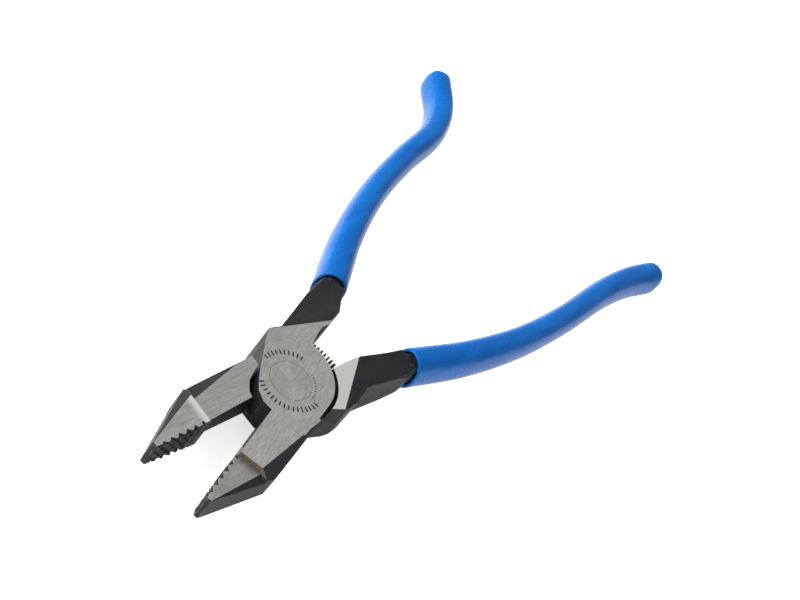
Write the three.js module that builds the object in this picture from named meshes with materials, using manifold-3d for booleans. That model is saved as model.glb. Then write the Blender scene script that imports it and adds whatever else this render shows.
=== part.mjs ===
// Side-cutting lineman pliers with a hook-bend handle and a return spring.
//
// Two forged halves cross in a lap joint round one rivet. Frame: +X runs from the rivet to the jaw
// tips, +Z runs along the rivet, and the origin is the centre of the joint's lower ground face.
// Both halves are worked out in the closed position. The upper half carries the jaw on the +Y side
// and its handle on the -Y side. The lower half is the same kind of forging turned over about the
// X axis. UPPER_FORM and LOWER_FORM list everything that sets the two apart.
import * as THREE from "three";
import { mergeVertices } from "three/addons/utils/BufferGeometryUtils.js";
import Module from "manifold-3d";

const wasm = await Module();
wasm.setup();

// ---------- driving dimensions (mm, degrees) ----------
const JOINT = 15.9; // thickness over both ground joint faces
const MID = JOINT / 2; // height of the lap plane and of the knife edges
const LAP_GAP = 0.3; // between the two lapped discs
const RUN_GAP = 0.45; // between a disc and the other half round it
const REST_OPENING = 20.4; // angle between the halves with the spring relaxed
const SPARE_OPENING = 6; // further opening before the stop
const EDGE_GAP = 0.15; // each knife and tooth row stops this far short of the closing plane

const DISC_CENTRE = [-1.9, -2.3]; // the disc is set off towards its own handle
const DISC_RADIUS = 14.7;
const DISC_ARC = [84, 176]; // part of the disc edge that is a true arc

const THROAT_X = 12.9; // rear end of the knives
const STEP_X = 31.2; // front end of the knives, where the nose starts
const TIP_X = 46.8;
const JAW_CORNER = [28.2, 12.0]; // widest point of the jaw
const JAW_ROOT_Y = 12.9; // outer side of the jaw beside the joint
const TIP_WIDTH = 2.0;
const SIDE_BAND = 8; // height of the upright band left between the two outer bevels
const NOSE_TOP = 13.9; // nose thickness falls from this height ...
const NOSE_TOP_FRONT = 12.4; // ... to this one, mirrored below the lap plane
const PAD_REAR_X = 28.4; // the nose's far face starts as a raised pad ...
const PAD_RIM = [1.1, 1.3]; // ... with a sloped rim: run and fall
const FLANK_REAR = 14.6; // the far side of a knife section slopes from here ...
const FLANK_FRONT = 12.5; // ... to here, measured on the half that carries it upward
const FLANK_KNIFE_Y = 1.2; // the bevel below a knife meets the flank here

const TOOTH_PITCH = 2.6;
const TOOTH_COUNT = 5;
const TOOTH_DEPTH = 1.0;
const LAST_TOOTH = 1.1; // from the front tooth's edge to the tip
const ROW_GROOVES = [-4.2, -1.4, 1.4, 4.2]; // lengthwise grooves, from the lap plane
const RELIEF = 0.8; // notch between knife and teeth

const SHOULDER_INNER_Y = -1.9; // wall that faces the other handle
const SHOULDER_INNER_X = -28; // rear end of that wall's ground face
const SHOULDER_OUTER = [-10.9, -13.5]; // outer end of the ground face
const SHANK_OUTER_Y = -11.2; // outer side of the forging between ear and shank
const SHOULDER_UNDERCUT = 0.6; // the shoulder's far face lies this far inside the joint face
const SHANK_HALF_HEIGHT = 4.9;
const SHANK_HALF_WIDTH = 3.6;
const SHANK_TAPER_END = [-47, -8];
const SHANK_MOUTH = 3.0; // the forged faces end this far along the handle's centre line

const RIVET_RADIUS = 4.6;
const RIVET_HEAD_RADIUS = 6.4;
const RIVET_HEAD_DEPTH = 1.8;
const RIVET_GAP = 0.12;

const SPRING_RADIUS = 22; // the coil axis is an arc of this radius round the rivet
const COIL_RADIUS = 2.4; // to the middle of the wire
const WIRE_RADIUS = 0.3;
const COILS = 13;
const SOCKET_RADIUS = 3.15;
const SOCKET_DEPTH = 3.0;
const SOCKET_GAP = 0.3;

const GRIP_START = 4.4; // the sleeve's mouth, measured along the handle's centre line
const GRIP_HALF_WIDTH = 4.9;
const GRIP_HALF_HEIGHT = 6.3;
const GRIP_WALL = 1.0;
const TANG_SHORT = 6; // the steel ends this far inside the sleeve's rounded end

// What sets the two forgings apart. Handle: centre line from inside the shank to the centre of the
// rounded end. Ear: outline of the lug beside the joint, from rear to front. Knife face: where the
// bevel above the knife meets the joint face. Inner side: outline from the shoulder's wall down the
// shank. Throat: chamfer off the disc, as [x, depth] pairs.
const UPPER_FORM = {
  handle: [
    [-43.8, -6.2], [-49.7, -7.3], [-72.1, -12.2], [-98.7, -14.7],
    [-125.2, -13.9], [-149.1, -11.7], [-163.7, -14.6], [-176.8, -21.6],
  ],
  ear: [[-14.8, -11.2], [-11.1, -13.6], [-6.7, -12.4], [-4.4, -11.3]],
  knifeFaceY: 0.5,
  innerSide: [[-27.4, -0.9], [-35, -0.4], [-40, -1.9]],
  throat: null,
};
const LOWER_FORM = {
  handle: [
    [-43.5, -8.3], [-49.3, -9.6], [-71.6, -15.2], [-98, -18.8],
    [-124.5, -19.2], [-152.5, -17.6], [-169.5, -18.3], [-182.2, -20.6],
  ],
  ear: [[-20.6, -12.4], [-16.4, -13.8], [-11.1, -14.4], [-7.1, -12.5], [-4.4, -11.3]],
  knifeFaceY: 3.4,
  innerSide: [[-28, -2.1], [-39, -4.2]],
  throat: [[6.5, 0], [12.4, 6.2]],
};

const rad = THREE.MathUtils.degToRad;
const SWING = REST_OPENING + SPARE_OPENING;
const BIG = 400;

// ---------- solids ----------
function solid(geometry) {
  const bare = geometry.clone();
  bare.deleteAttribute("normal");
  bare.deleteAttribute("uv");
  const merged = mergeVertices(bare, 1e-4);
  return new wasm.Manifold(
    new wasm.Mesh({
      numProp: 3,
      vertProperties: new Float32Array(merged.attributes.position.array),
      triVerts: new Uint32Array(merged.index.array),
    }),
  );
}

function geometryOf(body) {
  const mesh = body.getMesh();
  const geometry = new THREE.BufferGeometry();
  geometry.setAttribute("position", new THREE.BufferAttribute(mesh.vertProperties, 3));
  geometry.setIndex(new THREE.BufferAttribute(mesh.triVerts, 1));
  geometry.computeVertexNormals();
  return geometry;
}

function plate(outline, bottom, top) {
  const shape = new THREE.Shape(outline.map(([x, y]) => new THREE.Vector2(x, y)));
  const geometry = new THREE.ExtrudeGeometry(shape, { depth: top - bottom, bevelEnabled: false });
  return solid(geometry.translate(0, 0, bottom));
}

// Cuts away everything beyond the plane through a, b and c, on the side where `outside` lies.
function cutBeyond(body, [a, b, c], outside) {
  const corner = new THREE.Vector3(...a);
  const along = new THREE.Vector3(...b).sub(corner);
  const across = new THREE.Vector3(...c).sub(corner);
  const normal = along.cross(across).normalize();
  if (new THREE.Vector3(...outside).sub(corner).dot(normal) < 0) normal.negate();
  const block = new THREE.BoxGeometry(BIG, BIG, BIG);
  block.applyQuaternion(
    new THREE.Quaternion().setFromUnitVectors(new THREE.Vector3(0, 0, 1), normal),
  );
  const centre = corner.addScaledVector(normal, BIG / 2);
  return body.subtract(solid(block.translate(centre.x, centre.y, centre.z)));
}

const mirrorZ = ([x, y, z]) => [x, y, JOINT - z];

// The same cut on both faces of a half: once as given and once mirrored in the lap plane.
function cutBothFaces(body, plane, outside) {
  const upper = cutBeyond(body, plane, outside);
  return cutBeyond(upper, plane.map(mirrorZ), mirrorZ(outside));
}

// ---------- outlines of the lap joint ----------
const arcPoint = (angle) => [
  DISC_CENTRE[0] + DISC_RADIUS * Math.cos(rad(angle)),
  DISC_CENTRE[1] + DISC_RADIUS * Math.sin(rad(angle)),
];

function arc(from, to, steps) {
  return Array.from({ length: steps + 1 }, (_, i) => arcPoint(from + ((to - from) * i) / steps));
}

// Front edge of the disc, from the foot of the ear round to the throat of the jaws.
const FRONT_EDGE = [
  [-4.4, -11.3], [3.3, -8.6], [7, -7.1], [10.2, -5.4], [12.4, -2.6], [THROAT_X, EDGE_GAP],
];

const discOutline = [
  ...arc(...DISC_ARC, 16),
  [-22, SHOULDER_INNER_Y],
  [-14, -9],
  ...FRONT_EDGE,
  [THROAT_X, 11.6],
  [5, 12.1],
];

// Distance from the rivet axis to an outline in one direction.
function reach(outline, angle) {
  const direction = new THREE.Vector2(Math.cos(angle), Math.sin(angle));
  let farthest = 0;
  outline.forEach(([x0, y0], i) => {
    const [x1, y1] = outline[(i + 1) % outline.length];
    const determinant = direction.y * (x1 - x0) - direction.x * (y1 - y0);
    if (Math.abs(determinant) < 1e-9) return;
    const t = (y0 * direction.x - x0 * direction.y) / determinant;
    if (t < 0 || t > 1) return;
    const distance = (x0 + t * (x1 - x0)) * direction.x + (y0 + t * (y1 - y0)) * direction.y;
    farthest = Math.max(farthest, distance);
  });
  return farthest;
}

// Room a disc needs while it swings open, as an outline round the rivet. Only the edges that run
// past the other half count: the front of the ear, the front edge and the arc.
function sweptOutline() {
  const earFront = LOWER_FORM.ear.at(-2);
  const runningEdge = [...arc(...DISC_ARC, 16), [-6, -2], earFront, ...FRONT_EDGE];
  const step = 4;
  const outline = [];
  for (let angle = 0; angle < 360; angle += step) {
    let radius = 0;
    for (let swing = 0; swing <= SWING; swing += SWING / 11) {
      radius = Math.max(radius, reach(runningEdge, rad(angle - swing)));
    }
    const room = radius + RUN_GAP;
    outline.push([room * Math.cos(rad(angle)), room * Math.sin(rad(angle))]);
  }
  return outline;
}

// ---------- the forging ----------
function knifeSection(knifeFaceY) {
  const outline = [
    [5, EDGE_GAP],
    [STEP_X, EDGE_GAP],
    [STEP_X, JAW_CORNER[1] - (STEP_X - JAW_CORNER[0]) / 2],
    JAW_CORNER,
    [5, JAW_ROOT_Y],
  ];
  let body = plate(outline, 0, JOINT);
  const edge = [
    [0, EDGE_GAP, MID],
    [STEP_X, EDGE_GAP, MID],
  ];
  body = cutBeyond(body, [...edge, [0, knifeFaceY, JOINT]], [0, -5, JOINT]);
  body = cutBeyond(body, [...edge, [0, FLANK_KNIFE_Y, JOINT - FLANK_REAR]], [0, -5, 0]);
  const flank = [
    [8, 0, JOINT - FLANK_REAR],
    [28, 0, JOINT - FLANK_FRONT],
    [8, 10, JOINT - FLANK_REAR],
  ];
  body = cutBeyond(body, flank, [10, 0, -20]);
  const upperBevel = [
    [9.5, 11.9, JOINT],
    [31.9, 7.3, JOINT],
    [...JAW_CORNER, MID + SIDE_BAND / 2],
  ];
  body = cutBeyond(body, upperBevel, [20, 40, JOINT + 10]);
  const flankBevel = [
    [8.5, 11.6, JOINT - FLANK_REAR],
    [27.6, 8, JOINT - FLANK_FRONT],
    [...JAW_CORNER, MID - SIDE_BAND / 4],
  ];
  body = cutBeyond(body, flankBevel, [20, 40, -10]);
  const rootBevel = [
    [9.2, 11.4, JOINT - FLANK_REAR],
    [JAW_CORNER[0], JAW_CORNER[1] + 0.2, MID - SIDE_BAND / 4],
    [9.2, 13.2, MID - 1],
  ];
  return cutBeyond(body, rootBevel, [10, 40, -10]);
}

function nose() {
  const inner = EDGE_GAP;
  const root = STEP_X - 3;
  const outline = [[root, inner]];
  for (let tooth = TOOTH_COUNT - 1; tooth >= 0; tooth -= 1) {
    const peak = TIP_X - LAST_TOOTH - tooth * TOOTH_PITCH;
    if (tooth === TOOTH_COUNT - 1) outline.push([peak - TOOTH_PITCH * 0.7, inner]);
    outline.push([peak - TOOTH_PITCH * 0.45, inner + TOOTH_DEPTH]);
    outline.push([peak - 0.2, inner], [peak + 0.2, inner]);
  }
  outline.push([TIP_X, inner + TOOTH_DEPTH * 0.8], [TIP_X, inner + TIP_WIDTH]);
  outline.push(JAW_CORNER, [root, JAW_CORNER[1]]);
  let body = plate(outline, 0, JOINT);
  const face = [
    [STEP_X, 0, NOSE_TOP],
    [TIP_X, 0, NOSE_TOP_FRONT],
    [STEP_X, 10, NOSE_TOP],
  ];
  body = cutBothFaces(body, face, [STEP_X, 0, JOINT + 20]);
  const sideBevel = [
    [31.4, 8, NOSE_TOP],
    [TIP_X, 2, NOSE_TOP_FRONT],
    [29.5, 11.3, MID + SIDE_BAND / 2 - 0.5],
  ];
  body = cutBothFaces(body, sideBevel, [40, 30, JOINT + 20]);
  const [run, fall] = PAD_RIM;
  const slope = (NOSE_TOP - NOSE_TOP_FRONT) / (TIP_X - STEP_X);
  const padFace = JOINT - NOSE_TOP - slope * (STEP_X - PAD_REAR_X - run);
  const rim = [
    [PAD_REAR_X, 0, padFace + fall],
    [PAD_REAR_X + run, 0, padFace],
    [PAD_REAR_X, 10, padFace + fall],
  ];
  body = cutBeyond(body, rim, [PAD_REAR_X, 0, -20]);
  const grooveLength = TIP_X - STEP_X;
  for (const height of ROW_GROOVES) {
    const groove = new THREE.CylinderGeometry(0.8, 0.8, grooveLength, 4);
    groove.rotateZ(Math.PI / 2);
    groove.translate(STEP_X + 1.6 + grooveLength / 2, inner - 0.05, MID + height);
    body = body.subtract(solid(groove));
  }
  return body;
}

function jaw(knifeFaceY) {
  const relief = new THREE.BoxGeometry(RELIEF, 2 * RELIEF, BIG);
  const notch = solid(relief.translate(STEP_X + RELIEF / 2, EDGE_GAP, MID));
  return knifeSection(knifeFaceY).add(nose()).subtract(notch);
}

// Ground shoulder behind the joint and the forged shank that runs down into the handle.
function shoulder(curve, ear, innerSide) {
  const mouth = curve.getPointAt(SHANK_MOUTH / curve.getLength());
  const outline = [
    [-8, SHOULDER_INNER_Y],
    [-25, SHOULDER_INNER_Y],
    ...innerSide,
    [mouth.x + 0.2, mouth.y + SHANK_HALF_WIDTH + 0.1],
    [mouth.x - 0.3, mouth.y - SHANK_HALF_WIDTH - 0.1],
    [-42, mouth.y - SHANK_HALF_WIDTH - 0.7],
    [-34, (SHANK_OUTER_Y + mouth.y - SHANK_HALF_WIDTH - 1) / 2],
    [-23.5, SHANK_OUTER_Y],
    ...ear,
    [-4, -6],
  ];
  let body = plate(outline, SHOULDER_UNDERCUT, JOINT);
  const faces = [
    { top: JOINT, flip: (point) => point },
    { top: JOINT - SHOULDER_UNDERCUT, flip: mirrorZ },
  ];
  for (const { top, flip } of faces) {
    const taper = [
      [...SHOULDER_OUTER, top],
      [SHOULDER_INNER_X, SHOULDER_INNER_Y, top],
      [...SHANK_TAPER_END, MID + SHANK_HALF_HEIGHT],
    ];
    body = cutBeyond(body, taper.map(flip), flip([-40, -8, JOINT + 20]));
  }
  const outerChamfer = [
    [...SHOULDER_OUTER, JOINT],
    [-50, mouth.y - 4.4, MID + 2.6],
    [-50, mouth.y - 1.8, MID + SHANK_HALF_HEIGHT + 0.6],
  ];
  return cutBothFaces(body, outerChamfer, [-30, -30, JOINT + 20]);
}

// Handles are fullest at the mouth of the sleeve and slimmest under the fingers.
const swell = (share) => 1.07 - 0.15 * Math.sin(0.85 * Math.PI * share) ** 2;

// A bar or sleeve along a handle's centre line. The profile gives [distance, scale] pairs and the
// cross-section is a rounded oblong of the given half width (across) and half height (upward).
function along(curve, profile, halfWidth, halfHeight, sides) {
  const unit = new THREE.LatheGeometry(
    profile.map(([distance, scale]) => new THREE.Vector2(scale, distance)),
    sides,
  );
  const place = unit.attributes.position;
  const length = curve.getLength();
  for (let i = 0; i < place.count; i += 1) {
    const distance = place.getY(i);
    const u = THREE.MathUtils.clamp(distance / length, 0, 1);
    const scale = Math.hypot(place.getX(i), place.getZ(i)) * swell(u);
    const turn = Math.atan2(place.getZ(i), place.getX(i));
    const centre = curve.getPointAt(u);
    const tangent = curve.getTangentAt(u);
    centre.addScaledVector(tangent, distance - u * length);
    const across = scale * halfWidth * oblong(Math.cos(turn));
    const up = scale * halfHeight * oblong(Math.sin(turn));
    place.setXYZ(i, centre.x + tangent.y * across, centre.y - tangent.x * across, MID + up);
  }
  return solid(unit);
}

const oblong = (value) => Math.sign(value) * Math.abs(value) ** 0.85;

// Straight run from `start` to `end` with square or rounded ends.
function barProfile(start, end, round, steps) {
  const profile = [[start, 0], [start, 1]];
  for (let i = 1; i <= steps; i += 1) {
    profile.push([start + ((end - round - start) * i) / steps, 1]);
  }
  for (const angle of [30, 55, 75]) {
    profile.push([end - round + round * Math.sin(rad(angle)), Math.cos(rad(angle))]);
  }
  profile.push([end, 0]);
  return profile;
}

function handleCurve(points) {
  return new THREE.CatmullRomCurve3(points.map(([x, y]) => new THREE.Vector3(x, y, MID)));
}

function tang(curve) {
  const end = curve.getLength() - TANG_SHORT;
  return along(curve, barProfile(0, end, 2, 18), SHANK_HALF_WIDTH, SHANK_HALF_HEIGHT, 16);
}

function grip(curve) {
  const end = curve.getLength() + GRIP_HALF_WIDTH;
  const outer = barProfile(GRIP_START, end, GRIP_HALF_WIDTH + 0.6, 20);
  outer[1] = [GRIP_START, 0.93];
  outer.splice(2, 0, [GRIP_START + 0.5, 1]);
  const bore = barProfile(GRIP_START - 1, curve.getLength() - TANG_SHORT + 1, 2, 18);
  const sleeve = along(curve, outer, GRIP_HALF_WIDTH, GRIP_HALF_HEIGHT, 20);
  const inside = along(
    curve,
    bore,
    GRIP_HALF_WIDTH - GRIP_WALL,
    GRIP_HALF_HEIGHT - GRIP_WALL + 0.05,
    16,
  );
  return sleeve.subtract(inside);
}

// Rivet body turned on its axis: a plain shank and a countersunk head at each joint face.
function rivetProfile(gap) {
  const shank = RIVET_RADIUS + gap;
  const head = RIVET_HEAD_RADIUS + gap;
  const over = gap > 0 ? 1 : 0;
  return [
    [0, -over],
    [head, -over],
    [head, 0],
    [shank, RIVET_HEAD_DEPTH + gap],
    [shank, JOINT - RIVET_HEAD_DEPTH - gap],
    [head, JOINT],
    [head, JOINT + over],
    [0, JOINT + over],
  ].filter(([r, z], i, all) => i === 0 || r !== all[i - 1][0] || z !== all[i - 1][1]);
}

function turned(profile, sides) {
  const points = profile.map(([radius, height]) => new THREE.Vector2(radius, height));
  return solid(new THREE.LatheGeometry(points, sides).rotateX(Math.PI / 2));
}

// Blind hole for one end of the spring, in the shoulder's inner wall.
function springSocket() {
  const hole = new THREE.CylinderGeometry(SOCKET_RADIUS, SOCKET_RADIUS, 2 * SOCKET_DEPTH, 20);
  const lean = rad(REST_OPENING / 2);
  hole.rotateZ(lean / 2);
  return solid(hole.translate(-SPRING_RADIUS, SHOULDER_INNER_Y, MID));
}

function half(curve, { ear, knifeFaceY, innerSide, throat }) {
  const otherDisc = plate(
    sweptOutline().map(([x, y]) => [x, -y]).reverse(),
    -1,
    MID + LAP_GAP / 2,
  );
  let lap = plate(discOutline, MID + LAP_GAP / 2, JOINT);
  if (throat) {
    const [[x0, depth0], [x1, depth1]] = throat;
    const plane = [[x0, 0, JOINT - depth0], [x1, 0, JOINT - depth1], [x0, 10, JOINT - depth0]];
    lap = cutBeyond(lap, plane, [x1 + 10, 0, JOINT + 10]);
  }
  const earBevel = [
    [2.7, -9.2, JOINT],
    [...SHOULDER_OUTER, JOINT],
    [-6.1, -12.1, JOINT - 4],
  ];
  return jaw(knifeFaceY)
    .add(lap)
    .add(shoulder(curve, ear, innerSide))
    .subtract(otherDisc)
    .subtract(beyondEar(earBevel))
    .add(tang(curve))
    .subtract(springSocket())
    .subtract(turned(rivetProfile(RIVET_GAP), 40));
}

// Wedge that takes the bevel off the ear at the front of the shoulder.
function beyondEar(plane) {
  const block = plate([[-20, -22], [6, -22], [6, -8], [-20, -8]], MID, JOINT + 5);
  return block.subtract(cutBeyond(block, plane, [-4, -40, JOINT + 10]));
}

// ---------- the return spring ----------
class CoilPath extends THREE.Curve {
  constructor(start, end) {
    super();
    this.start = start;
    this.end = end;
  }

  getPoint(t, target = new THREE.Vector3()) {
    const around = 2 * Math.PI * COILS * t;
    const angle = this.start + (this.end - this.start) * t;
    const radius = SPRING_RADIUS + COIL_RADIUS * Math.cos(around);
    const height = MID + COIL_RADIUS * Math.sin(around);
    return target.set(-radius * Math.cos(angle), -radius * Math.sin(angle), height);
  }
}

function spring() {
  const wallAngle = rad(REST_OPENING / 2) + Math.asin(-SHOULDER_INNER_Y / SPRING_RADIUS);
  const reachIn = (SOCKET_DEPTH - SOCKET_GAP - WIRE_RADIUS - 0.2) / SPRING_RADIUS;
  const path = new CoilPath(wallAngle + reachIn, -wallAngle - reachIn);
  const wire = new THREE.Shape();
  wire.absarc(0, 0, WIRE_RADIUS, 0, 2 * Math.PI);
  const options = { steps: COILS * 12, curveSegments: 6, extrudePath: path };
  return solid(new THREE.ExtrudeGeometry(wire, options));
}

// ---------- the assembly ----------
const oxide = new THREE.MeshStandardMaterial({ color: 0x34363a, roughness: 0.5, metalness: 0.85 });
const bright = new THREE.MeshStandardMaterial({ color: 0xb4b2ac, roughness: 0.35, metalness: 1 });
const wireSteel = new THREE.MeshStandardMaterial({ color: 0x26282b, roughness: 0.4, metalness: 0.9 });
const dip = new THREE.MeshStandardMaterial({ color: 0x0f6fd1, roughness: 0.3, metalness: 0 });

function named(name, body, material) {
  const mesh = new THREE.Mesh(geometryOf(body), material);
  mesh.name = name;
  return mesh;
}

const hookCurve = handleCurve(UPPER_FORM.handle);
const plainCurve = handleCurve(LOWER_FORM.handle);

const upper = new THREE.Group();
upper.add(named("upper_half", half(hookCurve, UPPER_FORM), oxide));
upper.add(named("upper_grip", grip(hookCurve), dip));
upper.rotation.z = rad(REST_OPENING / 2);

const turnedOver = new THREE.Group();
turnedOver.add(named("lower_half", half(plainCurve, LOWER_FORM), oxide));
turnedOver.add(named("lower_grip", grip(plainCurve), dip));
turnedOver.rotation.x = Math.PI;
turnedOver.position.z = JOINT;
const lower = new THREE.Group();
lower.add(turnedOver);
lower.rotation.z = -rad(REST_OPENING / 2);

const pliers = new THREE.Group();
pliers.add(upper, lower);
pliers.add(named("rivet", turned(rivetProfile(0), 40), bright));
pliers.add(named("return_spring", spring(), wireSteel));

export default pliers;
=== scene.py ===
import math

import bmesh
import bpy
from mathutils import Matrix, Vector


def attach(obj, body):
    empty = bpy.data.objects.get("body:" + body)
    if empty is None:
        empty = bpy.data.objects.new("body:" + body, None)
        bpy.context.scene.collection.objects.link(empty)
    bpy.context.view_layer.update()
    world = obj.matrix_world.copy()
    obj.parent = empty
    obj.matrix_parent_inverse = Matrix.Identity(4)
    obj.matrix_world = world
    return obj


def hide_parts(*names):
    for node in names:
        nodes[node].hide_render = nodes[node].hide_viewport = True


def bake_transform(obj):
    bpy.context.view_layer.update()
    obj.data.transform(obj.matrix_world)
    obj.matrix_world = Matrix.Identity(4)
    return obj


# Looks of the side-cutting pliers, in metres. The two forgings and the rivet keep their CAD meshes
# and get materials. The sleeves and the spring are modelled again here, smoother than in the CAD.
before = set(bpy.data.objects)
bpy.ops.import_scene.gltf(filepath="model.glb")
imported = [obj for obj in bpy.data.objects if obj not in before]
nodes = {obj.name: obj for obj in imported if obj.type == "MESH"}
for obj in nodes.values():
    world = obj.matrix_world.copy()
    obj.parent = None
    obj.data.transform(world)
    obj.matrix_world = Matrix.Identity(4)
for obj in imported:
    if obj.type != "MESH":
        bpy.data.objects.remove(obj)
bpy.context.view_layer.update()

MM = 0.001
JOINT = 15.9 * MM
MID = JOINT / 2
HALF_OPENING = math.radians(10.2)

# Sleeves: half sizes of the rounded oblong section, and places along the handle's line.
GRIP_WIDTH = 4.8 * MM
GRIP_HEIGHT = 6.3 * MM
GRIP_WALL = 0.95 * MM
GRIP_START = 4.4 * MM  # the mouth
GRIP_INSIDE = 1.2 * MM  # straight wall just inside the mouth
GRIP_ROUNDING = GRIP_WIDTH + 0.6 * MM  # length of the rounded end
BORE_SHORT = 5.0 * MM  # the bore ends this far before the centre of the rounded end
OBLONG_POWER = 0.85  # 1 would be an ellipse

# Handle centre lines (mm), from inside the shank to the centre of the rounded end.
HOOK_HANDLE = [
    (-43.8, -6.2), (-49.7, -7.3), (-72.1, -12.2), (-98.7, -14.7),
    (-125.2, -13.9), (-149.1, -11.7), (-163.7, -14.6), (-176.8, -21.6),
]
PLAIN_HANDLE = [
    (-43.5, -8.3), (-49.3, -9.6), (-71.6, -15.2), (-98, -18.8),
    (-124.5, -19.2), (-152.5, -17.6), (-169.5, -18.3), (-182.2, -20.6),
]

# Spring: coil axis on an arc round the rivet, from one shoulder to the other. The walls stand
# WALL_Y off the closing plane, and the coil runs SPRING_INTO_WALL into each socket.
SPRING_RADIUS = 22 * MM
COIL_RADIUS = 2.4 * MM
WIRE_RADIUS = 0.3 * MM
COILS = 13
WALL_Y = 1.9 * MM
SPRING_INTO_WALL = 2.1 * MM

# Steel. A face is ground where its normal is this close to upright and ahead of GROUND_REAR_X.
GROUND_LEVEL = (0.991, 0.993)
GROUND_REAR_X = -31 * MM
BRIGHT_LOW = (0.33, 0.327, 0.305, 1)
BRIGHT_HIGH = (0.53, 0.527, 0.495, 1)
BRIGHT_CLOUD = (0.35, 0.35, 0.34, 1)
# Painted highlight for the lower half's ground shoulder.
SHOULDER_PAINTED_HIGHLIGHT = (0.86, 0.855, 0.82, 1)
# Painted highlight along the nose pad's rear rim.
PAD_RIM_HIGHLIGHT = (0.82, 0.815, 0.79, 1)
# Polished edges of the ground faces, partly real polish and partly a painted highlight.
EDGE_POLISH_AND_HIGHLIGHT = (0.74, 0.735, 0.72, 1)
NOSE_SHADE = (0.2, 0.198, 0.18, 1)
MARK_COLOUR = (0.035, 0.035, 0.037, 1)
OXIDE_LOW = (0.007, 0.0075, 0.0085, 1)
OXIDE_HIGH = (0.016, 0.017, 0.019, 1)
OXIDE_BROWN = (0.028, 0.025, 0.022, 1)
STRAW = (0.105, 0.088, 0.055, 1)
BARE_EDGE = (0.22, 0.215, 0.205, 1)
SCRATCH_DEPTH = 0.25  # as a share of the oxide's grain
MARK_DEPTH = 3.0

# Camera: degrees round, up and rolled, then where it looks and from how far, both in mm.
CAMERA_ANGLES = (96.52, 39.19, 40.35)
CAMERA_TARGET = (-66.74, 0.78, 7.95)
CAMERA_DISTANCE = 441.2
CAMERA_LENS = 64.0


# ---------- meshes ----------
def mesh_object(name, points, faces):
    mesh = bpy.data.meshes.new(name)
    mesh.from_pydata([tuple(p) for p in points], [], faces)
    mesh.validate()
    tidy = bmesh.new()
    tidy.from_mesh(mesh)
    bmesh.ops.recalc_face_normals(tidy, faces=tidy.faces)
    tidy.to_mesh(mesh)
    tidy.free()
    for polygon in mesh.polygons:
        polygon.use_smooth = True
    piece = bpy.data.objects.new(name, mesh)
    bpy.context.scene.collection.objects.link(piece)
    return piece


def skin(rings):
    """Points and faces of a tube with closed ends through rings of equal size."""
    size = len(rings[0])
    points = [p for ring in rings for p in ring]
    faces = []
    for i in range(len(rings) - 1):
        for j in range(size):
            k = (j + 1) % size
            faces.append((i * size + j, i * size + k, (i + 1) * size + k, (i + 1) * size + j))
    faces.append(tuple(reversed(range(size))))
    faces.append(tuple(range((len(rings) - 1) * size, len(rings) * size)))
    return points, faces


class HandleLine:
    """Smooth line through a handle's centres, measured by distance from its first point."""

    def __init__(self, centres, steps=40):
        points = [Vector((x * MM, y * MM)) for x, y in centres]
        points = [2 * points[0] - points[1], *points, 2 * points[-1] - points[-2]]
        self.samples = []
        for a, b, c, d in zip(points, points[1:], points[2:], points[3:]):
            self.samples += [self.between(a, b, c, d, i / steps) for i in range(steps)]
        self.samples.append(points[-2])
        self.distances = [0.0]
        for p, q in zip(self.samples, self.samples[1:]):
            self.distances.append(self.distances[-1] + (q - p).length)
        self.length = self.distances[-1]

    @staticmethod
    def between(a, b, c, d, u):
        """Centripetal Catmull-Rom point between b and c."""
        knots = [0.0]
        for p, q in ((a, b), (b, c), (c, d)):
            knots.append(knots[-1] + math.sqrt((q - p).length))
        t = knots[1] + (knots[2] - knots[1]) * u

        def mix(p, q, i, j):
            gap = knots[j] - knots[i]
            return p * ((knots[j] - t) / gap) + q * ((t - knots[i]) / gap)

        ab, bc, cd = mix(a, b, 0, 1), mix(b, c, 1, 2), mix(c, d, 2, 3)
        return mix(mix(ab, bc, 0, 2), mix(bc, cd, 1, 3), 1, 2)

    def at(self, distance):
        """Point and unit direction at a distance, carried straight on past the ends."""
        clamped = min(max(distance, 0.0), self.length)
        i = 0
        while i < len(self.distances) - 2 and self.distances[i + 1] < clamped:
            i += 1
        p, q = self.samples[i], self.samples[i + 1]
        direction = (q - p).normalized()
        return p + direction * (distance - self.distances[i]), direction


def oblong(value):
    return math.copysign(abs(value) ** OBLONG_POWER, value)


def swell(share):
    """Handles are fullest at the sleeve's mouth and slimmest under the fingers."""
    return 1.07 - 0.15 * math.sin(0.85 * math.pi * min(max(share, 0.0), 1.0)) ** 2


def sleeve_profile(length):
    """(distance, half width, half height) from the bore's end out to the mouth and back over."""
    bore_w, bore_h = GRIP_WIDTH - GRIP_WALL, GRIP_HEIGHT - GRIP_WALL
    bore_end = length - BORE_SHORT
    profile = [(bore_end, 0.02 * bore_w, 0.02 * bore_h), (bore_end, bore_w, bore_h)]
    inside = GRIP_START + GRIP_INSIDE
    for i in range(1, 9):
        profile.append((bore_end + (inside - bore_end) * i / 8, bore_w, bore_h))
    rim = GRIP_WALL / 2
    for i in range(9):
        turn = math.pi * i / 8
        inset = rim * (1 - math.cos(turn))
        profile.append((
            GRIP_START + rim - rim * math.sin(turn),
            bore_w + inset,
            bore_h + inset,
        ))
    tip = length + GRIP_WIDTH
    run = tip - GRIP_ROUNDING
    steps = 90
    for i in range(1, steps + 1):
        profile.append((inside + (run - inside) * i / steps, GRIP_WIDTH, GRIP_HEIGHT))
    for i in range(1, 12):
        turn = math.pi / 2 * i / 12
        profile.append((
            run + GRIP_ROUNDING * math.sin(turn),
            GRIP_WIDTH * math.cos(turn),
            GRIP_HEIGHT * math.cos(turn),
        ))
    profile.append((tip, 0.03 * GRIP_WIDTH, 0.03 * GRIP_HEIGHT))
    return profile


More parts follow.
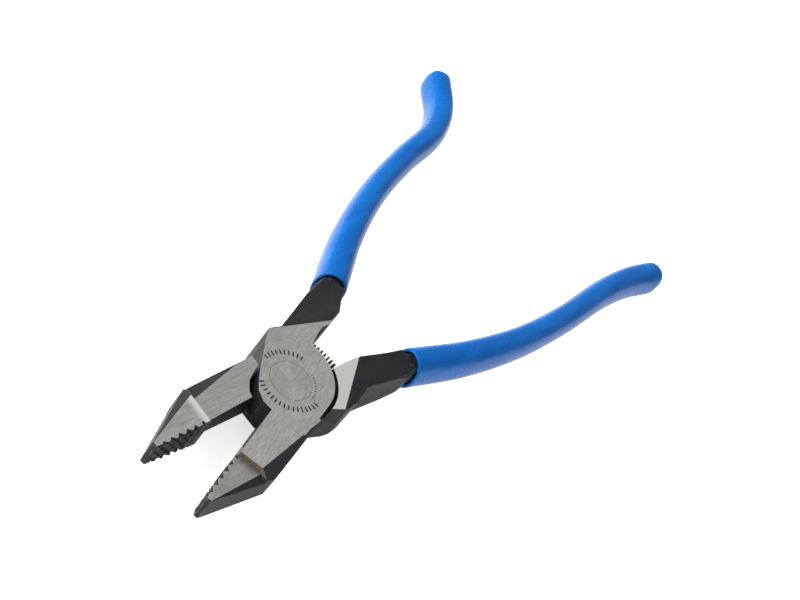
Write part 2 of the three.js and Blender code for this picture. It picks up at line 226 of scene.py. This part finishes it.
def make_grip(name, centres, turned_over, body, node):
    line = HandleLine(centres)
    sides = 48
    rings = []
    for distance, half_width, half_height in sleeve_profile(line.length):
        centre, direction = line.at(distance)
        fullness = swell(distance / line.length)
        ring = []
        for j in range(sides):
            turn = 2 * math.pi * j / sides
            across = half_width * fullness * oblong(math.cos(turn))
            up = half_height * fullness * oblong(math.sin(turn))
            ring.append(Vector((
                centre.x + direction.y * across,
                centre.y - direction.x * across,
                MID + up,
            )))
        rings.append(ring)
    points, faces = skin(rings)
    if turned_over:
        points = [Vector((p.x, -p.y, JOINT - p.z)) for p in points]
    turn = Matrix.Rotation(-HALF_OPENING if turned_over else HALF_OPENING, 4, "Z")
    grip = mesh_object(name, [turn @ p for p in points], faces)
    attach(grip, body)
    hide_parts(node)
    return grip


def make_spring():
    wall = HALF_OPENING + math.asin(WALL_Y / SPRING_RADIUS)
    limit = wall + SPRING_INTO_WALL / SPRING_RADIUS
    steps, sides = COILS * 28, 10

    def centre(t):
        around = 2 * math.pi * COILS * t
        angle = limit * (1 - 2 * t)
        radius = SPRING_RADIUS + COIL_RADIUS * math.cos(around)
        return Vector((
            -radius * math.cos(angle),
            -radius * math.sin(angle),
            MID + COIL_RADIUS * math.sin(around),
        ))

    rings = []
    for i in range(steps + 1):
        t = i / steps
        here = centre(t)
        along = (centre(t + 1e-4) - centre(t - 1e-4)).normalized()
        angle = limit * (1 - 2 * t)
        axis_point = Vector((
            -SPRING_RADIUS * math.cos(angle),
            -SPRING_RADIUS * math.sin(angle),
            MID,
        ))
        outward = here - axis_point
        outward = (outward - along * outward.dot(along)).normalized()
        side = along.cross(outward)
        rings.append([
            here + WIRE_RADIUS * (math.cos(a) * outward + math.sin(a) * side)
            for a in (2 * math.pi * j / sides for j in range(sides))
        ])
    points, faces = skin(rings)
    spring = mesh_object("return_spring_wire", points, faces)
    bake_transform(spring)
    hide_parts("return_spring")
    return spring


# ---------- material tools ----------
class Nodes:
    """Short names for the shader nodes used below. Most calls return an output socket."""

    def __init__(self, name):
        self.material = bpy.data.materials.new(name)
        self.material.use_nodes = True
        self.tree = self.material.node_tree
        self.tree.nodes.clear()
        self.output = self.new("ShaderNodeOutputMaterial")

    def new(self, kind, **settings):
        node = self.tree.nodes.new(kind)
        for key, value in settings.items():
            setattr(node, key, value)
        return node

    def put(self, socket, value):
        if isinstance(value, bpy.types.NodeSocket):
            self.tree.links.new(value, socket)
        else:
            socket.default_value = value

    def math(self, operation, *values):
        node = self.new("ShaderNodeMath", operation=operation)
        for socket, value in zip(node.inputs, values):
            self.put(socket, value)
        return node.outputs[0]

    def ramp(self, value, low, high, start=0.0, end=1.0):
        node = self.new("ShaderNodeMapRange", interpolation_type="SMOOTHSTEP")
        for key, item in (
            ("Value", value), ("From Min", low), ("From Max", high),
            ("To Min", start), ("To Max", end),
        ):
            self.put(node.inputs[key], item)
        return node.outputs[0]

    def place(self):
        return self.new("ShaderNodeTexCoord").outputs["Object"]

    def split(self, vector):
        node = self.new("ShaderNodeSeparateXYZ")
        self.put(node.inputs[0], vector)
        return node.outputs

    def scaled(self, vector, scale):
        node = self.new("ShaderNodeMapping")
        self.put(node.inputs["Vector"], vector)
        node.inputs["Scale"].default_value = scale
        return node.outputs[0]

    def turned(self, vector, angle):
        node = self.new("ShaderNodeMapping")
        self.put(node.inputs["Vector"], vector)
        node.inputs["Rotation"].default_value = (0, 0, angle)
        return node.outputs[0]

    def noise(self, vector, scale, detail=4.0, roughness=0.55):
        node = self.new("ShaderNodeTexNoise")
        self.put(node.inputs["Vector"], vector)
        node.inputs["Scale"].default_value = scale
        node.inputs["Detail"].default_value = detail
        node.inputs["Roughness"].default_value = roughness
        return node.outputs["Fac"]

    def mix(self, share, a, b):
        node = self.new("ShaderNodeMix", data_type="RGBA")
        self.put(node.inputs[0], share)
        self.put(node.inputs[6], a)
        self.put(node.inputs[7], b)
        return node.outputs[2]

    def bump(self, height, distance, strength):
        node = self.new("ShaderNodeBump")
        self.put(node.inputs["Height"], height)
        node.inputs["Distance"].default_value = distance
        node.inputs["Strength"].default_value = strength
        return node.outputs[0]

    def surface(self, **values):
        shader = self.new("ShaderNodeBsdfPrincipled")
        for key, value in values.items():
            self.put(shader.inputs[key.replace("_", " ")], value)
        self.put(self.output.inputs["Surface"], shader.outputs[0])
        return self.material


def wear_and_highlight_edges(n, radius):
    """1 on outside edges, 0 on flats."""
    soft = n.new("ShaderNodeBevel", samples=6)
    soft.inputs["Radius"].default_value = radius
    normal = n.new("ShaderNodeNewGeometry").outputs["Normal"]
    dot = n.new("ShaderNodeVectorMath", operation="DOT_PRODUCT")
    n.put(dot.inputs[0], soft.outputs[0])
    n.put(dot.inputs[1], normal)
    return n.ramp(dot.outputs["Value"], 0.995, 0.93)


def brushed_scratches(n, place, turned_over):
    """Scratches along the half, and the place vector turned into that half's own direction."""
    along = n.turned(place, HALF_OPENING if turned_over else -HALF_OPENING)
    grain = n.noise(n.scaled(along, (1800, 14000, 1800)), 1.0, 3.0)
    cross = n.noise(n.scaled(along, (260, 5200, 260)), 1.0, 2.0)
    return n.math("MULTIPLY", n.math("ADD", grain, cross), 0.5), along


def ground_colour(n, place, along, scratches, marks, turned_over):
    """Bright ground steel with faint clouds, polished edges that also carry a painted highlight,
    painted highlights on the lower half's shoulder and nose-pad rim, and the stamped marks.
    """
    cloud = n.noise(place, 180, 3.0)
    colour = n.mix(n.ramp(scratches, 0.36, 0.64), BRIGHT_LOW, BRIGHT_HIGH)
    colour = n.mix(n.ramp(cloud, 0.35, 0.75, 0.0, 0.35), colour, BRIGHT_CLOUD)
    forward = n.split(along)[0]
    if turned_over:
        # Painted highlight: the lower half's ground shoulder behind the rivet is lightened to
        # stand in for the light it catches.
        shoulder_highlight = n.ramp(forward, -2 * MM, -6 * MM, 0.0, 0.75)
        colour = n.mix(shoulder_highlight, colour, SHOULDER_PAINTED_HIGHLIGHT)
        height = n.split(place)[2]
        # Painted highlight along the rear rim of the nose pad.
        colour = n.mix(pad_rim_highlight(n, forward, height), colour, PAD_RIM_HIGHLIGHT)
    else:
        shade = n.ramp(forward, 31 * MM, 31.5 * MM, 0.0, 0.45)
        colour = n.mix(shade, colour, NOSE_SHADE)
    # Edges of the ground faces lightened: partly real polish, partly a painted highlight of the
    # rounded edges.
    polish_and_highlight = n.math("MULTIPLY", wear_and_highlight_edges(n, 0.3 * MM), 0.6)
    colour = n.mix(polish_and_highlight, colour, EDGE_POLISH_AND_HIGHLIGHT)
    return n.mix(marks, colour, MARK_COLOUR)


def oxide_colour(n, place, scale, facing_ahead, turned_over):
    """Black oxide with brownish patches and bare steel where its edges are worn."""
    patches = n.noise(place, 90, 3.0)
    colour = n.mix(n.ramp(scale, 0.3, 0.7), OXIDE_LOW, OXIDE_HIGH)
    colour = n.mix(n.ramp(patches, 0.45, 0.75, 0.0, 0.5), colour, OXIDE_BROWN)
    if not turned_over:
        colour = n.mix(step_face(n, place, facing_ahead), colour, STRAW)
    patchy = n.ramp(n.noise(place, 420, 4.0), 0.42, 0.62)
    wear = n.math("MULTIPLY", wear_and_highlight_edges(n, 0.35 * MM), patchy)
    return n.mix(n.math("MULTIPLY", wear, 0.55), colour, BARE_EDGE)


def forged_steel(name, turned_over):
    """Black oxide forging whose joint, knife, nose and shoulder faces are ground bright."""
    n = Nodes(name)
    place = n.place()
    x, _, z = n.split(place)
    geometry = n.new("ShaderNodeNewGeometry")
    facing_ahead, _, facing_up = n.split(geometry.outputs["True Normal"])
    level = n.math("ABSOLUTE", facing_up)
    before_shank = n.math("GREATER_THAN", x, GROUND_REAR_X)
    ground = n.math("MULTIPLY", n.ramp(level, *GROUND_LEVEL), before_shank)
    oxide = n.math("SUBTRACT", 1.0, ground)

    scratches, along = brushed_scratches(n, place, turned_over)
    marks = stamped_marks(n, place, z, level)
    scale = n.noise(place, 1500, 5.0, 0.65)
    bright = ground_colour(n, place, along, scratches, marks, turned_over)
    dark = oxide_colour(n, place, scale, facing_ahead, turned_over)

    roughness = n.math(
        "ADD",
        n.math("MULTIPLY", n.ramp(scratches, 0.3, 0.7, 0.26, 0.44), ground),
        n.math("MULTIPLY", n.ramp(scale, 0.25, 0.75, 0.48, 0.66), oxide),
    )
    height = n.math(
        "ADD",
        n.math("MULTIPLY", n.math("MULTIPLY", scratches, ground), SCRATCH_DEPTH),
        n.math("MULTIPLY", scale, oxide),
    )
    height = n.math("SUBTRACT", height, n.math("MULTIPLY", marks, MARK_DEPTH))
    return n.surface(
        Base_Color=n.mix(ground, dark, bright),
        Metallic=n.math("ADD", n.math("MULTIPLY", ground, 0.8), 0.15),
        Roughness=roughness,
        Normal=n.bump(height, 0.03 * MM, 0.8),
        Anisotropic=0.35,
        Specular_IOR_Level=0.12,
    )


def all_of(n, *tests):
    """1 where every test holds. Each test is (operation, socket, value)."""
    share = 1.0
    for operation, socket, value in tests:
        share = n.math("MULTIPLY", share, n.math(operation, socket, value))
    return share


def pad_rim_highlight(n, forward, z):
    """Painted highlight: a bright band along the rear rim of the nose pad on the lower half's far
    face, standing in for the light its rounded edge catches.
    """
    rise = n.ramp(forward, 28.9 * MM, 29.6 * MM)
    fade = n.ramp(forward, 32.4 * MM, 29.9 * MM)
    on_pad = n.math("GREATER_THAN", z, 13.5 * MM)
    return n.math("MULTIPLY", n.math("MULTIPLY", rise, fade), on_pad)


def step_face(n, place, facing_ahead):
    """The short wall between knife face and nose on the upper half, straw-coloured by heat."""
    x, _, z = n.split(place)
    return all_of(
        n,
        ("GREATER_THAN", facing_ahead, 0.9),
        ("GREATER_THAN", z, 13.4 * MM),
        ("GREATER_THAN", x, 28.5 * MM),
        ("LESS_THAN", x, 31.5 * MM),
    )


def stamped_marks(n, place, z, level):
    """Plain rings of short strokes stamped round the rivet on the ground joint face."""
    x, y, _ = n.split(place)
    radius = n.math("SQRT", n.math("ADD", n.math("MULTIPLY", x, x), n.math("MULTIPLY", y, y)))
    angle = n.math("ARCTAN2", y, x)

    def band(inner, outer):
        return all_of(n, ("GREATER_THAN", radius, inner * MM), ("LESS_THAN", radius, outer * MM))

    def sector(centre, half_width):
        off = n.math("ABSOLUTE", n.math("SUBTRACT", angle, centre))
        return n.math("LESS_THAN", off, half_width)

    def strokes(count, width, inner, outer, centre, half_width):
        turn = n.math("FRACT", n.math("MULTIPLY", angle, count / (2 * math.pi)))
        stroke = n.math("LESS_THAN", turn, width)
        ring = n.math("MULTIPLY", stroke, band(inner, outer))
        return n.math("MULTIPLY", ring, sector(centre, half_width))

    marks = strokes(44, 0.34, 8.6, 10.2, 0.5, 1.15)
    marks = n.math("MAXIMUM", marks, strokes(44, 0.34, 8.6, 10.2, -2.2, 0.75))
    marks = n.math("MAXIMUM", marks, strokes(52, 0.3, 7.2, 7.9, 2.2, 0.6))
    on_joint_face = all_of(n, ("GREATER_THAN", level, 0.999), ("GREATER_THAN", z, 15.7 * MM))
    return n.math("MULTIPLY", marks, on_joint_face)


def rivet_steel():
    """Ground flush with the joint, so it shows only as a fine ring."""
    n = Nodes("rivet_steel_ground")
    scratches, _ = brushed_scratches(n, n.place(), False)
    return n.surface(
        Base_Color=n.mix(n.ramp(scratches, 0.36, 0.64), BRIGHT_LOW, BRIGHT_HIGH),
        Metallic=0.95,
        Roughness=n.ramp(scratches, 0.3, 0.7, 0.26, 0.44),
        Normal=n.bump(n.math("MULTIPLY", scratches, SCRATCH_DEPTH), 0.03 * MM, 0.8),
        Anisotropic=0.35,
    )


def spring_steel():
    n = Nodes("oiled_spring_wire")
    place = n.place()
    cloud = n.noise(place, 1400, 3.0)
    colour = n.mix(n.ramp(cloud, 0.35, 0.65), (0.018, 0.018, 0.02, 1), (0.06, 0.06, 0.062, 1))
    roughness = n.ramp(cloud, 0.3, 0.7, 0.28, 0.48)
    normal = n.bump(n.noise(place, 5000, 2.0), 0.01 * MM, 0.6)
    return n.surface(Base_Color=colour, Metallic=0.8, Roughness=roughness, Normal=normal)


def dipped_vinyl():
    """Glossy dipped coating: slow waves in the skin, fine orange peel and handling scuffs."""
    n = Nodes("dipped_vinyl_blue")
    place = n.place()
    waves = n.noise(n.scaled(place, (60, 240, 240)), 1.0, 2.0)
    peel = n.noise(place, 2600, 3.0)
    scuffs = n.noise(n.scaled(place, (500, 2600, 2600)), 1.0, 4.0, 0.7)
    colour = n.mix(n.ramp(waves, 0.35, 0.65), (0.0, 0.074, 0.285, 1), (0.0, 0.094, 0.34, 1))
    colour = n.mix(n.ramp(scuffs, 0.62, 0.8, 0.0, 0.16), colour, (0.005, 0.12, 0.40, 1))
    roughness = n.ramp(scuffs, 0.35, 0.75, 0.24, 0.42)
    height = n.math("ADD", waves, n.math("MULTIPLY", peel, 0.12))
    normal = n.bump(height, 0.12 * MM, 0.6)
    return n.surface(
        Base_Color=colour,
        Roughness=roughness,
        Normal=normal,
        Specular_IOR_Level=0.1,
        Coat_Weight=0.03,
        Coat_Roughness=0.12,
    )


def give(piece, material):
    piece.data.materials.clear()
    piece.data.materials.append(material)


# ---------- the pliers ----------
def soften(piece, width):
    """Small rounding of the sharp edges, kept inside the solid."""
    bevel = piece.modifiers.new("edge_round", "BEVEL")
    bevel.width = width
    bevel.segments = 2
    bevel.limit_method = "ANGLE"
    bevel.angle_limit = math.radians(28)
    bevel.use_clamp_overlap = True


give(nodes["upper_half"], forged_steel("forged_steel_upper", False))
give(nodes["lower_half"], forged_steel("forged_steel_lower", True))
give(nodes["rivet"], rivet_steel())
soften(nodes["upper_half"], 0.22 * MM)
soften(nodes["lower_half"], 0.22 * MM)
soften(nodes["rivet"], 0.12 * MM)

vinyl = dipped_vinyl()
give(make_grip("upper_grip_sleeve", HOOK_HANDLE, False, "upper_lever", "upper_grip"), vinyl)
give(make_grip("lower_grip_sleeve", PLAIN_HANDLE, True, "lower_lever", "lower_grip"), vinyl)
give(make_spring(), spring_steel())


# ---------- the studio ----------
def make_floor():
    size = 4.0
    points = [(-size, -size, 0), (size, -size, 0), (size, size, 0), (-size, size, 0)]
    floor = mesh_object("studio_floor", [Vector(p) for p in points], [(0, 1, 2, 3)])
    floor.location.z = -0.4 * MM
    n = Nodes("studio_floor_white")
    shade = n.ramp(n.noise(n.place(), 3.0, 2.0), 0.3, 0.7, 0.90, 0.92)
    colour = n.new("ShaderNodeCombineColor")
    for socket in colour.inputs:
        n.put(socket, shade)
    n.surface(
        Base_Color=colour.outputs[0],
        Roughness=0.9,
        Emission_Color=(1, 1, 1, 1),
        Emission_Strength=0.65,
    )
    give(floor, n.material)


def area_light(name, position, target, size, power):
    lamp = bpy.data.lights.new(name, "AREA")
    lamp.shape = "RECTANGLE"
    lamp.size, lamp.size_y = size
    lamp.energy = power
    light = bpy.data.objects.new(name, lamp)
    light.location = position
    aim = Vector(target) - Vector(position)
    light.rotation_euler = aim.to_track_quat("-Z", "Y").to_euler()
    bpy.context.scene.collection.objects.link(light)


def make_world():
    world = bpy.data.worlds.new("studio")
    bpy.context.scene.world = world
    world.use_nodes = True
    sky = world.node_tree.nodes["Background"]
    sky.inputs["Color"].default_value = (1, 1, 1, 1)
    sky.inputs["Strength"].default_value = 0.62


def make_camera():
    azimuth, elevation, roll = (math.radians(a) for a in CAMERA_ANGLES)
    back = Vector((
        math.sin(azimuth) * math.cos(elevation),
        -math.cos(azimuth) * math.cos(elevation),
        math.sin(elevation),
    ))
    right = Vector((math.cos(azimuth), math.sin(azimuth), 0))
    up = back.cross(right)
    turned_right = right * math.cos(roll) + up * math.sin(roll)
    turned_up = up * math.cos(roll) - right * math.sin(roll)
    target = Vector(CAMERA_TARGET) * MM
    place = Matrix((turned_right, turned_up, back)).transposed().to_4x4()
    place.translation = target + back * CAMERA_DISTANCE * MM
    lens = bpy.data.cameras.new("camera")
    lens.sensor_width = 36
    lens.lens = CAMERA_LENS
    lens.clip_start = 0.01
    camera = bpy.data.objects.new("camera", lens)
    camera.matrix_world = place
    bpy.context.scene.collection.objects.link(camera)
    bpy.context.scene.camera = camera


make_floor()
make_world()
make_camera()
area_light("key", (0.12, -0.6, 0.5), (-0.06, 0, 0), (0.5, 0.5), 11)
area_light("fill", (0.45, 0.3, 0.5), (-0.05, 0, 0), (0.6, 0.4), 1.5)
bpy.context.scene.view_settings.view_transform = "Standard"
